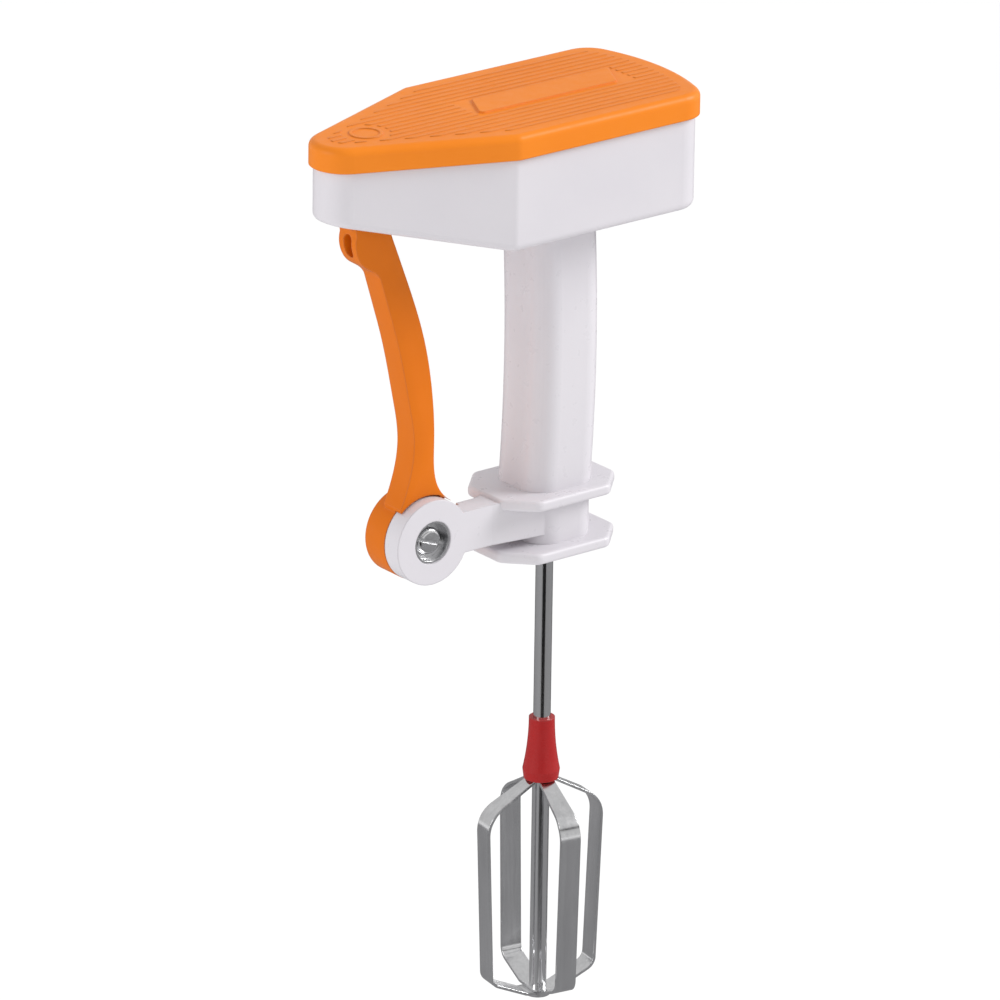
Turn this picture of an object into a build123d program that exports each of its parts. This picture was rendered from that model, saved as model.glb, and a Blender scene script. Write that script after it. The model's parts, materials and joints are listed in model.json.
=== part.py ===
from build123d import *
from math import acos, atan2, cos, hypot, pi, radians, sin, tan
import os

# Hand-squeezed egg beater. A lever hinged at the foot of the grip pushes a rack inside the head,
# and two compound gears speed the rack up into the spin of a whisk on a long spindle.
# Millimetres. Origin on the spindle's axis at half the grip's height, +Z up, -X towards the lever.

os.makedirs("parts", exist_ok=True)

# ---- head: a shallow gear case, straight-sided, tapering to a narrow tip over the lever ----
BASE_Z = 44.5  # flat underside of the head
CASE_HEIGHT = 30.0
HALF_WIDTH = 28.0
SHOULDER_X = -35.0  # where the sides start to taper
SIDE_END_X = 35.6
REAR_X = 41.8  # crown of the bowed rear end
TIP_RADIUS = 9.6
TIP_X = -89.0
BELLY_SLOPE = 0.24  # rise of the underside per mm beyond the shoulder
REAR_CORNER = 9.0
SHOULDER_CORNER = 3.0
WALL = 2.4
FLOOR = 2.5
LOWER_EDGE = 2.6
RIM_Z = BASE_Z + CASE_HEIGHT

COVER_HEIGHT = 7.8
COVER_OVERHANG = 1.4
COVER_WALL = 2.3
COVER_EDGE = 2.4
COVER_TOP_Z = RIM_Z + COVER_HEIGHT
SPIGOT_DEPTH = 2.8
SPIGOT_WALL = 1.5
SPIGOT_GAP = 0.25
COVER_HOLLOW = COVER_HEIGHT - COVER_WALL
SPIGOT_Z = RIM_Z - SPIGOT_DEPTH
SPIGOT_HEIGHT = SPIGOT_DEPTH + COVER_HOLLOW
SPIGOT_MARGIN = -WALL - SPIGOT_GAP

RIB_PITCH = 2.9
RIB_WIDTH = 1.1
RIB_HEIGHT = 0.22
RIB_COUNT = 17
RIB_MARGIN = 6.0
PANEL_X = -3.0
PANEL_LENGTH = 53.0
PANEL_WIDTH = 12.0
PANEL_SLANT = 3.0
PANEL_HEIGHT = 0.6
EMBLEM_X = -71.5
EMBLEM_RADIUS = 5.2
EMBLEM_WIDTH = 1.0
EMBLEM_HEIGHT = 0.5
PANEL_CORNER = 1.2
PANEL_FIELD = 4.0  # plain band round the panel
EMBLEM_FIELD = 2.5
RELIEF_ROOT = 0.2  # depth by which raised detail runs into the cover
RELIEF_ROOT_Z = COVER_TOP_Z - RELIEF_ROOT
RELIEF_CUT = 2.0

# ---- screws, posts and bosses inside the head ----
SCREW_POSTS = [(-30.0, 20.0), (-30.0, -20.0), (31.0, 20.0), (31.0, -20.0)]
POST_RADIUS = 4.2
POST_TOP_Z = BASE_Z + 24.0
COVER_SCREW_RADIUS = 1.4
COVER_SCREW_LENGTH = 28.5
SCREW_HEAD_RADIUS = 2.8
SCREW_HEAD_HEIGHT = 1.8
SCREW_HEAD_SINK = 0.4  # depth of a cover screw's head below the flat underside
SCREW_CLEARANCE = 0.2
CROSS_LENGTH = 3.2
CROSS_WIDTH = 0.8
CROSS_DEPTH = 0.9
GRIP_SCREW_SPOTS = [(-2.0, 8.6), (-2.0, -8.6)]
GRIP_SCREW_RADIUS = 1.4
GRIP_SCREW_LENGTH = 12.5
GRIP_SCREW_HEAD_RADIUS = 2.4
GRIP_SCREW_HEAD_HEIGHT = 1.3
GRIP_SCREW_SLOT = 0.7
GRIP_PILOT_DEPTH = 11.0
AXLE_SEAT_RADIUS = 4.0
AXLE_SEAT_Z = (BASE_Z + 1.0, BASE_Z + 3.8)
FLOOR_HOLE_DEPTH = 8.0
COVER_BOSS_RADIUS = 3.4
COVER_BOSS_Z = BASE_Z + 25.0
COVER_BOSS_TOP_Z = COVER_TOP_Z - 1.5
BLIND_HOLE_DEPTH = 6.0
SLOT_X = (-82.5, -28.0)
SLOT_CUT_Z = (BASE_Z - 1.0, BASE_Z + 16.0)
BELLY_DROP = 25.0  # the sloping plane runs this far below the flat underside at the rear

# ---- lever pivot and its link to the rack ----
PIVOT_X = -50.0
PIVOT_Z = -52.3
PIN_X = -76.0
PIN_Z = BASE_Z + 20.0
PIN_RADIUS = 1.5
PIN_LENGTH = 12.2
STROKE = 37.8  # rack travel of a full squeeze
LEVER_WIDTH = 8.5
TONGUE_WIDTH = 5.2
EYE_RADIUS = 4.0
SLOT_WIDTH = 10.6
# side view of the lever's blade, as (x, z) points through which its edges are drawn
LEVER_INNER = [
    (-40.5, -41.5), (-46.0, -35.0), (-47.3, -20.2), (-48.0, -7.0),
    (-51.8, 14.1), (-55.2, 24.9), (-59.7, 36.9), (-64.6, 49.6),
]
LEVER_BOSS = [(-77.8, 51.5), (-77.5, 45.5), (-74.8, 41.4), (-70.4, 38.4), (-68.5, 36.0)]
LEVER_OUTER = [
    (-68.5, 36.0), (-65.4, 26.0), (-61.9, 14.5), (-57.0, -7.0),
    (-55.0, -21.5), (-57.2, -33.5), (-60.0, -40.6),
]
POCKET_Z = 47.6
POCKET_HEIGHT = 7.6
POCKET_WIDTH = 3.8
POCKET_REACH = 8.5

# ---- gear train ----
PRESSURE = radians(25)
ADDENDUM = 0.9
DEDENDUM = 1.15
BACKLASH = 0.09  # thinning of each gear's teeth at the pitch circle
WHEEL_1_TEETH = 50
PINION_2_TEETH = 14
MODULE_B = 0.9
WHEEL_2_TEETH = 36
SPINDLE_TEETH = 14
MODULE_A = 0.8
PINION_1_TEETH = 16
MODULE_C = 1.0
GEAR_2_X = MODULE_A * (WHEEL_2_TEETH + SPINDLE_TEETH) / 2
GEAR_1_X = GEAR_2_X - MODULE_B * (WHEEL_1_TEETH + PINION_2_TEETH) / 2
RACK_PITCH_Y = -MODULE_C * PINION_1_TEETH / 2
RACK_TIP_Y = RACK_PITCH_Y + ADDENDUM * MODULE_C
RACK_ROOT_Y = RACK_PITCH_Y - DEDENDUM * MODULE_C
LAYER_A = (BASE_Z + 4.0, BASE_Z + 10.0)
LAYER_B = (BASE_Z + 11.0, BASE_Z + 16.4)
LAYER_C = (BASE_Z + 17.0, BASE_Z + 23.5)
AXLE_RADIUS = 1.5
AXLE_SHOULDER = 2.0
AXLE_SHOULDER_HEIGHT = 3.6
HUB_RADIUS = 3.6
AXLE_TOP_Z = BASE_Z + 28.0
RUNNING_GAP = 0.05
RETAINER_RADIUS = 3.2
RETAINER_THICKNESS = 0.6

# ---- rack ----
RACK_BACK_Y = -14.0
RACK_BEND_X = -55.0  # where the bar turns in towards the fork
RACK_END = 6.0  # toothed length beyond the pinion at each end of the stroke
CHEEK_INNER = 3.2
CHEEK_OUTER = 6.2
CHEEK_HALF = 4.3
CHEEK_Z = (BASE_Z + 16.0, BASE_Z + 26.7)
BRIDGE_GAP = 5.6
BRIDGE_THICKNESS = 4.8
SLOT_HALF = 1.9
SLOT_Z = (BASE_Z + 18.1, BASE_Z + 25.5)
SOLE_X = -44.0
SOLE_LENGTH = 16.0
SOLE_GAP = 0.1
RAIL_X = -8.0
RAIL_LENGTH = 70.0
RAIL_THICKNESS = 1.2
RAIL_GAP = 0.25
RAIL_Z = BASE_Z + 18.5

# ---- grip ----
GRIP_HALF_X = 13.0
GRIP_HALF_Y = 12.0
GRIP_CORNER = 5.0
GRIP_SOFTNESS = 7.0  # rounding of the corners that the chamfers leave
GRIP_BOTTOM_Z = -44.0
GRIP_BOW = 1.6
GRIP_SETBACK = 0.6
GRIP_BORE = 8.5
GRIP_BORE_Z = (-36.0, 30.0)
FLANGE_FRONT_X = 21.0
FLANGE_LEVER_X = -24.5
FLANGE_HALF_Y = 17.0
FLANGE_CHAMFER = 9.0
FLANGE_CORNER = 3.5
FLANGE_THICKNESS = 3.6
FLANGE_EDGE = 1.2
LOWER_FLANGE_Z = -65.0
NECK_HALF = 12.0
FOOT_RADIUS = 6.5
FOOT_Z = LOWER_FLANGE_Z - 1.5
ARM_Z = (-58.3, -45.0)
ARM_Y = (-7.75, 0.3)
ARM_BEND_X = -27.0
ARM_ROOT_X = -8.0
ARM_FLARE_FRONT = 2.8
ARM_FLARE_BACK = 6.0
EAR_RADIUS = 13.7
ARM_STEP_X = PIVOT_X + EAR_RADIUS + 1.3  # where the arm thins to the ear
EAR_FRONT_Y = -7.75
EAR_BACK_Y = -1.25
RECESS_RADIUS = 6.9
RECESS_DEPTH = 4.0

# ---- pivot hardware ----
BARREL_RADIUS = 13.8
BARREL_FRONT_Y = -1.05
BARREL_BACK_Y = 8.5
BARREL_CLEARANCE = 0.7
SLEEVE_RADIUS = 4.0
SCREW_RADIUS = 2.4
SCREW_FIT = 0.1
SLEEVE_BACK_Y = 8.8
WASHER_THICKNESS = 0.8
BACK_WASHER_RADIUS = 7.0
CUP_SINK = 0.4  # depth of the cup washer's rim below the ear's face
PIVOT_HEAD_RADIUS = 4.4
PIVOT_HEAD_HEIGHT = 2.0
PIVOT_HEAD_EDGE = 1.6
PIVOT_SLOT = 1.1
PIVOT_SLOT_TURN = 20
NUT_THICKNESS = 3.2
NUT_RADIUS = 4.6
SPRING_RADIUS = 6.3
SPRING_WIRE = 0.6
SPRING_TURNS = 3.5
SPRING_PITCH = 1.5
SPRING_CAVITY = 8.2
SPRING_CAVITY_BACK_Y = 6.2

# ---- spindle and whisk ----
SPINDLE_RADIUS = 2.75
SPINDLE_TOP_Z = BASE_Z + 10.4
SPINDLE_BOTTOM_Z = -218.4
BUSH_RADIUS = 4.5
BUSH_FLANGE = 5.8
BUSH_FLANGE_THICKNESS = 0.8
UPPER_BUSH_Z = GRIP_BORE_Z[1] + 2.0
THRUST_RADIUS = 4.6
THRUST_THICKNESS = 0.5
CLIP_RADIUS = 5.2
CLIP_THICKNESS = 0.8
CLIP_MOUTH = 2.6
COLLAR_TOP_Z = -124.1
COLLAR_BOTTOM_Z = -144.5
COLLAR_RADII = (4.1, 4.7, 5.9)
COLLAR_FOOT = 3.0
COLLAR_TUCK = 0.4
COLLAR_SEAT_RADIUS = 4.6
COLLAR_SEAT_GAP = 0.3
STRIP_THICKNESS = 0.9
STRIP_WIDTH = 7.0
STRIP_NECK_WIDTH = 5.0
WHISK_TURN = -9.0
UPPER_BEND = (20.0, -154.8)
LOWER_BEND = (18.0, -210.6)
LOOP_BOTTOM_Z = -216.2
STRIP_TOP_Z = -138.5
LOOP_FOOT_X = 5.5
NECK_BEND = 2.2
UPPER_BEND_RADIUS = 9.0
LOWER_BEND_RADIUS = 3.6
RIVET_RADIUS = 4.0
RIVET_HEIGHT = 1.2


def head_outline(z, margin):
    """Plan of the head at height z, grown (or shrunk) by margin all round."""
    centre_x = TIP_X + TIP_RADIUS
    reach = hypot(SHOULDER_X - centre_x, HALF_WIDTH)
    tangent = atan2(HALF_WIDTH, SHOULDER_X - centre_x) + acos(TIP_RADIUS / reach)
    tangent_x = centre_x + TIP_RADIUS * cos(tangent)
    tangent_y = TIP_RADIUS * sin(tangent)
    with BuildSketch(Plane.XY.offset(z)) as outline:
        with BuildLine():
            Polyline((tangent_x, tangent_y), (SHOULDER_X, HALF_WIDTH), (SIDE_END_X, HALF_WIDTH))
            ThreePointArc((SIDE_END_X, HALF_WIDTH), (REAR_X, 0), (SIDE_END_X, -HALF_WIDTH))
            Polyline((SIDE_END_X, -HALF_WIDTH), (SHOULDER_X, -HALF_WIDTH), (tangent_x, -tangent_y))
            ThreePointArc((tangent_x, -tangent_y), (TIP_X, 0), (tangent_x, tangent_y))
        make_face()
        fillet(outline.vertices().group_by(Axis.X)[-1], radius=REAR_CORNER)
        fillet(outline.vertices().filter_by_position(Axis.X, SHOULDER_X - 1, SHOULDER_X + 1), SHOULDER_CORNER)
        if margin:
            offset(amount=margin)
    return outline.sketch


def belly_plane(lift):
    """Plane of the sloping underside towards the tip, raised by lift."""
    start = (SHOULDER_X, 0, BASE_Z + lift)
    return Plane(origin=start, x_dir=(1, 0, -BELLY_SLOPE), z_dir=(BELLY_SLOPE, 0, 1))


def gear_profile(z, teeth, module, phase, bore):
    """Involute spur gear with a tooth centred at the phase angle in degrees."""
    pitch_r = teeth * module / 2
    base_r = pitch_r * cos(PRESSURE)
    tip_r = pitch_r + ADDENDUM * module
    root_r = pitch_r - DEDENDUM * module
    flank_r = max(base_r, root_r)
    pitch_half = (pi * module / 2 - BACKLASH) / (2 * pitch_r)
    pitch_involute = tan(PRESSURE) - PRESSURE

    def flank(radius, side):
        opening = acos(min(1.0, base_r / radius))
        angle = side * (pitch_half + pitch_involute - tan(opening) + opening)
        return (radius * cos(angle), radius * sin(angle))

    def inside_root(side):
        x, y = flank(flank_r, side)
        scale = (root_r - 0.3 * module) / flank_r
        return (x * scale, y * scale)

    middle_r = (flank_r + tip_r) / 2
    with BuildSketch() as tooth:
        with BuildLine():
            Line(inside_root(-1), flank(flank_r, -1))
            ThreePointArc(flank(flank_r, -1), flank(middle_r, -1), flank(tip_r, -1))
            ThreePointArc(flank(tip_r, -1), (tip_r, 0), flank(tip_r, 1))
            ThreePointArc(flank(tip_r, 1), flank(middle_r, 1), flank(flank_r, 1))
            Line(flank(flank_r, 1), inside_root(1))
            Line(inside_root(1), inside_root(-1))
        make_face()
    with BuildSketch(Plane.XY.offset(z)) as profile:
        Circle(root_r)
        with PolarLocations(0, teeth, start_angle=phase):
            add(tooth.sketch)
        Circle(bore, mode=Mode.SUBTRACT)
    return profile.sketch


def grip_section(z):
    """Softly faceted section of the grip at height z, bowed towards +X at half height."""
    bow = GRIP_BOW * (1 - (z / BASE_Z) ** 2) - GRIP_SETBACK
    with BuildSketch(Plane.XY.offset(z)) as section:
        with Locations((bow, 0)):
            Rectangle(2 * GRIP_HALF_X, 2 * GRIP_HALF_Y)
        chamfer(section.vertices(), length=GRIP_CORNER)
        fillet(section.vertices(), radius=GRIP_SOFTNESS)
    return section.sketch


def flange_plate(z):
    """Finger guard from z upwards: a rounded oblong with cut corners, longer towards the lever."""
    length = FLANGE_FRONT_X - FLANGE_LEVER_X
    with BuildPart() as plate:
        with BuildSketch(Plane.XY.offset(z)) as outline:
            with Locations(((FLANGE_FRONT_X + FLANGE_LEVER_X) / 2, 0)):
                Rectangle(length, 2 * FLANGE_HALF_Y)
            chamfer(outline.vertices(), length=FLANGE_CHAMFER)
            fillet(outline.vertices(), radius=FLANGE_CORNER)
        extrude(amount=FLANGE_THICKNESS)
        fillet(plate.edges().group_by(Axis.Z)[-1], radius=FLANGE_EDGE)
        fillet(plate.edges().group_by(Axis.Z)[0], radius=FLANGE_EDGE)
    return plate.part


# ---- gear housing ----
with BuildPart() as flat_bottomed:
    extrude(head_outline(BASE_Z, 0), amount=CASE_HEIGHT)
    fillet(flat_bottomed.faces().sort_by(Axis.Z)[0].edges(), radius=LOWER_EDGE)

with BuildPart() as slope_bottomed:
    extrude(head_outline(BASE_Z - BELLY_DROP, 0), amount=CASE_HEIGHT + BELLY_DROP)
    split(bisect_by=belly_plane(0), keep=Keep.TOP)
    fillet(slope_bottomed.faces().sort_by(Axis.Z)[0].edges(), radius=LOWER_EDGE)

with BuildPart() as cavity:
    extrude(head_outline(BASE_Z + FLOOR, -WALL), amount=CASE_HEIGHT)
    split(bisect_by=belly_plane(FLOOR), keep=Keep.TOP)

# sole the rack slides on, between the tip and the large gear
with BuildPart() as rack_sole:
    with BuildSketch(Plane.XY.offset(BASE_Z)):
        with Locations((SOLE_X, (RACK_BACK_Y + RACK_ROOT_Y) / 2)):
            Rectangle(SOLE_LENGTH, RACK_ROOT_Y - RACK_BACK_Y - 0.3)
    extrude(amount=LAYER_C[0] - SOLE_GAP - BASE_Z)
    split(bisect_by=belly_plane(1.0), keep=Keep.TOP)

with BuildPart() as gear_housing:
    add(flat_bottomed.part)
    add(slope_bottomed.part, mode=Mode.INTERSECT)
    add(cavity.part, mode=Mode.SUBTRACT)
    # posts for the cover screws
    with BuildSketch(Plane.XY.offset(BASE_Z)):
        with Locations(*SCREW_POSTS):
            Circle(POST_RADIUS)
    extrude(amount=POST_TOP_Z - BASE_Z)
    add(rack_sole.part)
    # low boss under the second gear
    with BuildSketch(Plane.XY.offset(AXLE_SEAT_Z[0])):
        with Locations((GEAR_2_X, 0)):
            Circle(AXLE_SEAT_RADIUS)
    extrude(amount=AXLE_SEAT_Z[1] - AXLE_SEAT_Z[0])
    # slot the lever swings in
    with BuildSketch(Plane.XY.offset(SLOT_CUT_Z[0])):
        with Locations(((SLOT_X[0] + SLOT_X[1]) / 2, 0)):
            SlotOverall(SLOT_X[1] - SLOT_X[0], SLOT_WIDTH)
    extrude(amount=SLOT_CUT_Z[1] - SLOT_CUT_Z[0], mode=Mode.SUBTRACT)
    # screw clearance holes, countersunk heads below
    with BuildSketch(Plane.XY.offset(BASE_Z)):
        with Locations(*SCREW_POSTS):
            Circle(COVER_SCREW_RADIUS + SCREW_CLEARANCE)
    extrude(amount=CASE_HEIGHT, mode=Mode.SUBTRACT)
    with BuildSketch(Plane.XY.offset(BASE_Z)):
        with Locations(*SCREW_POSTS):
            Circle(SCREW_HEAD_RADIUS + SCREW_CLEARANCE)
    extrude(amount=SCREW_HEAD_HEIGHT + SCREW_HEAD_SINK, mode=Mode.SUBTRACT)
    # holes for the bush, the two axles and the grip screws
    with BuildSketch(Plane.XY.offset(BASE_Z)):
        Circle(BUSH_RADIUS)
        with Locations((GEAR_1_X, 0), (GEAR_2_X, 0)):
            Circle(AXLE_SHOULDER)
        with Locations(*GRIP_SCREW_SPOTS):
            Circle(GRIP_SCREW_RADIUS + SCREW_CLEARANCE)
    extrude(amount=FLOOR_HOLE_DEPTH, mode=Mode.SUBTRACT)
gear_housing.part.label = "gear_housing"
export_step(gear_housing.part, "parts/gear_housing.step")

# ---- top cover ----
with BuildPart() as cover_body:
    extrude(head_outline(RIM_Z, COVER_OVERHANG), amount=COVER_HEIGHT)
    fillet(cover_body.faces().sort_by(Axis.Z)[-1].edges(), radius=COVER_EDGE)

with BuildPart() as top_cover:
    add(cover_body.part)
    # hollow under the top
    extrude(head_outline(RIM_Z, COVER_OVERHANG - COVER_WALL), amount=COVER_HOLLOW, mode=Mode.SUBTRACT)
    # spigot that drops inside the case wall
    extrude(head_outline(SPIGOT_Z, SPIGOT_MARGIN), amount=SPIGOT_HEIGHT)
    extrude(head_outline(SPIGOT_Z, SPIGOT_MARGIN - SPIGOT_WALL), amount=SPIGOT_HEIGHT, mode=Mode.SUBTRACT)
    # bosses for the screws and for the tops of the axles
    with BuildSketch(Plane.XY.offset(POST_TOP_Z + 0.1)):
        with Locations(*SCREW_POSTS):
            Circle(COVER_BOSS_RADIUS)
    extrude(amount=COVER_BOSS_TOP_Z - POST_TOP_Z)
    with BuildSketch(Plane.XY.offset(COVER_BOSS_Z)):
        with Locations((GEAR_1_X, 0), (GEAR_2_X, 0)):
            Circle(COVER_BOSS_RADIUS)
    extrude(amount=COVER_BOSS_TOP_Z - COVER_BOSS_Z)
    # rail behind the rack's bar
    with BuildSketch(Plane.XY.offset(RAIL_Z)):
        with Locations((RAIL_X, RACK_BACK_Y - RAIL_GAP - RAIL_THICKNESS / 2)):
            Rectangle(RAIL_LENGTH, RAIL_THICKNESS)
    extrude(amount=COVER_BOSS_TOP_Z - RAIL_Z)
    # blind holes for screws and axles
    with BuildSketch(Plane.XY.offset(POST_TOP_Z)):
        with Locations(*SCREW_POSTS):
            Circle(COVER_SCREW_RADIUS)
        with Locations((GEAR_1_X, 0), (GEAR_2_X, 0)):
            Circle(AXLE_RADIUS + 0.1)
    extrude(amount=BLIND_HOLE_DEPTH, mode=Mode.SUBTRACT)

with BuildPart() as cover_ribs:
    extrude(head_outline(RELIEF_ROOT_Z, COVER_OVERHANG - RIB_MARGIN), amount=RIB_HEIGHT + RELIEF_ROOT)
    with BuildSketch(Plane.XY.offset(RELIEF_ROOT_Z)):
        with Locations(((TIP_X + REAR_X) / 2, 0)):
            with GridLocations(0, RIB_PITCH, 1, RIB_COUNT):
                Rectangle(REAR_X - TIP_X, RIB_WIDTH)
    extrude(amount=RELIEF_CUT, mode=Mode.INTERSECT)
    # plain field round the panel and the emblem
    with BuildSketch(Plane.XY.offset(RELIEF_ROOT_Z)):
        with Locations((PANEL_X, 0)):
            Rectangle(PANEL_LENGTH + 2 * PANEL_FIELD, PANEL_WIDTH + PANEL_FIELD)
        with Locations((EMBLEM_X, 0)):
            Circle(EMBLEM_RADIUS + EMBLEM_FIELD)
    extrude(amount=RELIEF_CUT, mode=Mode.SUBTRACT)

with BuildPart() as top_cover_finished:
    add(top_cover.part)
    add(cover_ribs.part)
    # plain slanted panel
    with BuildSketch(Plane.XY.offset(RELIEF_ROOT_Z)) as panel:
        with BuildLine():
            Polyline(
                (PANEL_X - PANEL_LENGTH / 2 + PANEL_SLANT, PANEL_WIDTH / 2),
                (PANEL_X + PANEL_LENGTH / 2 + PANEL_SLANT, PANEL_WIDTH / 2),
                (PANEL_X + PANEL_LENGTH / 2 - PANEL_SLANT, -PANEL_WIDTH / 2),
                (PANEL_X - PANEL_LENGTH / 2 - PANEL_SLANT, -PANEL_WIDTH / 2),
                close=True,
            )
        make_face()
        fillet(panel.vertices(), radius=PANEL_CORNER)
    extrude(amount=PANEL_HEIGHT + RELIEF_ROOT)
    # plain ring emblem near the tip
    with BuildSketch(Plane.XY.offset(RELIEF_ROOT_Z)):
        with Locations((EMBLEM_X, 0)):
            Circle(EMBLEM_RADIUS)
            Circle(EMBLEM_RADIUS - EMBLEM_WIDTH, mode=Mode.SUBTRACT)
    extrude(amount=EMBLEM_HEIGHT)
top_cover_finished.part.label = "top_cover"
export_step(top_cover_finished.part, "parts/top_cover.step")

# ---- grip, finger guards, arm and ear in one moulding ----
with BuildPart() as grip_handle:
    for height in (BASE_Z, BASE_Z / 2, 0, -BASE_Z / 2, GRIP_BOTTOM_Z - 1):
        add(grip_section(height))
    loft()
    add(flange_plate(GRIP_BOTTOM_Z - FLANGE_THICKNESS))
    add(flange_plate(LOWER_FLANGE_Z))
    with BuildSketch(Plane.XY.offset(LOWER_FLANGE_Z + 1)) as neck:
        Rectangle(2 * NECK_HALF, 2 * NECK_HALF)
        chamfer(neck.vertices(), length=GRIP_CORNER)
        fillet(neck.vertices(), radius=GRIP_SOFTNESS)
    extrude(amount=GRIP_BOTTOM_Z - LOWER_FLANGE_Z - 2)
    # low boss round the lower bush
    with BuildSketch(Plane.XY.offset(FOOT_Z)):
        Circle(FOOT_RADIUS)
    extrude(amount=FLANGE_THICKNESS)
    # arm to the pivot
    with BuildSketch(Plane.XY.offset(ARM_Z[0])):
        with BuildLine():
            Polyline(
                (PIVOT_X, ARM_Y[0]),
                (ARM_BEND_X, ARM_Y[0]),
                (ARM_ROOT_X, ARM_Y[0] - ARM_FLARE_FRONT),
                (ARM_ROOT_X, ARM_Y[1] + ARM_FLARE_BACK),
                (-NECK_HALF - 2, ARM_Y[1] + ARM_FLARE_BACK),
                (ARM_BEND_X, ARM_Y[1]),
                (ARM_STEP_X, ARM_Y[1]),
                (ARM_STEP_X, EAR_BACK_Y),
                (PIVOT_X, EAR_BACK_Y),
                close=True,
            )
        make_face()
    extrude(amount=ARM_Z[1] - ARM_Z[0])
    # ear
    with BuildSketch(Plane.XZ.offset(-EAR_BACK_Y)):
        with Locations((PIVOT_X, PIVOT_Z)):
            Circle(EAR_RADIUS)
    extrude(amount=EAR_BACK_Y - EAR_FRONT_Y)
    # space the lever's barrel turns in
    with BuildSketch(Plane.XZ.offset(-EAR_BACK_Y)):
        with Locations((PIVOT_X, PIVOT_Z)):
            Circle(BARREL_RADIUS + BARREL_CLEARANCE)
    extrude(amount=-2 * LEVER_WIDTH, mode=Mode.SUBTRACT)
    # recess and hole for the pivot screw
    with BuildSketch(Plane.XZ.offset(-EAR_FRONT_Y)):
        with Locations((PIVOT_X, PIVOT_Z)):
            Circle(RECESS_RADIUS)
    extrude(amount=-RECESS_DEPTH, mode=Mode.SUBTRACT)
    with BuildSketch(Plane.XZ.offset(-EAR_FRONT_Y)):
        with Locations((PIVOT_X, PIVOT_Z)):
            Circle(SCREW_RADIUS + SCREW_FIT)
    extrude(amount=-2 * (EAR_BACK_Y - EAR_FRONT_Y), mode=Mode.SUBTRACT)
    # wide bore between the two bush seats
    with BuildSketch(Plane.XY.offset(GRIP_BORE_Z[0])):
        Circle(GRIP_BORE)
    extrude(amount=GRIP_BORE_Z[1] - GRIP_BORE_Z[0], mode=Mode.SUBTRACT)
    with BuildSketch(Plane.XY.offset(FOOT_Z)):
        Circle(BUSH_RADIUS)
    extrude(amount=BASE_Z - FOOT_Z, mode=Mode.SUBTRACT)
    # pilot holes for the grip screws
    with BuildSketch(Plane.XY.offset(BASE_Z)):
        with Locations(*GRIP_SCREW_SPOTS):
            Circle(GRIP_SCREW_RADIUS)
    extrude(amount=-GRIP_PILOT_DEPTH, mode=Mode.SUBTRACT)
grip_handle.part.label = "grip_handle"
export_step(grip_handle.part, "parts/grip_handle.step")

# ---- screws ----
with BuildPart() as cover_screws:
    with BuildSketch(Plane.XY.offset(BASE_Z + SCREW_HEAD_SINK)):
        with Locations(*SCREW_POSTS):
            Circle(SCREW_HEAD_RADIUS)
    extrude(amount=SCREW_HEAD_HEIGHT)
    with BuildSketch(Plane.XY.offset(BASE_Z + SCREW_HEAD_SINK)):
        with Locations(*SCREW_POSTS):
            Circle(COVER_SCREW_RADIUS)
    extrude(amount=COVER_SCREW_LENGTH)
    with BuildSketch(Plane.XY.offset(BASE_Z + SCREW_HEAD_SINK)):
        with Locations(*SCREW_POSTS):
            Rectangle(CROSS_LENGTH, CROSS_WIDTH)
            Rectangle(CROSS_WIDTH, CROSS_LENGTH)
    extrude(amount=CROSS_DEPTH, mode=Mode.SUBTRACT)
cover_screws.part.label = "cover_screws"
export_step(cover_screws.part, "parts/cover_screws.step")

with BuildPart() as grip_screws:
    with BuildSketch(Plane.XY.offset(BASE_Z + FLOOR)):
        with Locations(*GRIP_SCREW_SPOTS):
            Circle(GRIP_SCREW_HEAD_RADIUS)
    extrude(amount=GRIP_SCREW_HEAD_HEIGHT)
    with BuildSketch(Plane.XY.offset(BASE_Z + FLOOR)):
        with Locations(*GRIP_SCREW_SPOTS):
            Circle(GRIP_SCREW_RADIUS)
    extrude(amount=-GRIP_SCREW_LENGTH)
    with BuildSketch(Plane.XY.offset(BASE_Z + FLOOR + GRIP_SCREW_HEAD_HEIGHT)):
        with Locations(*GRIP_SCREW_SPOTS):
            Rectangle(4 * GRIP_SCREW_SLOT, GRIP_SCREW_SLOT)
    extrude(amount=-GRIP_SCREW_SLOT, mode=Mode.SUBTRACT)
grip_screws.part.label = "grip_screws"
export_step(grip_screws.part, "parts/grip_screws.step")

# ---- bushes ----
with BuildPart() as spindle_bush_upper:
    with BuildSketch(Plane.XY.offset(UPPER_BUSH_Z)):
        Circle(BUSH_RADIUS)
    extrude(amount=BASE_Z + FLOOR - UPPER_BUSH_Z)
    with BuildSketch(Plane.XY.offset(BASE_Z + FLOOR)):
        Circle(BUSH_FLANGE)
    extrude(amount=BUSH_FLANGE_THICKNESS)
    with BuildSketch(Plane.XY.offset(UPPER_BUSH_Z)):
        Circle(SPINDLE_RADIUS + RUNNING_GAP)
    extrude(amount=SPINDLE_TOP_Z - UPPER_BUSH_Z, mode=Mode.SUBTRACT)
spindle_bush_upper.part.label = "spindle_bush_upper"
export_step(spindle_bush_upper.part, "parts/spindle_bush_upper.step")

with BuildPart() as spindle_bush_lower:
    with BuildSketch(Plane.XY.offset(FOOT_Z)):
        Circle(BUSH_RADIUS)
        Circle(SPINDLE_RADIUS + RUNNING_GAP, mode=Mode.SUBTRACT)
    extrude(amount=GRIP_BORE_Z[0] - FOOT_Z)
spindle_bush_lower.part.label = "spindle_bush_lower"
export_step(spindle_bush_lower.part, "parts/spindle_bush_lower.step")

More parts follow.
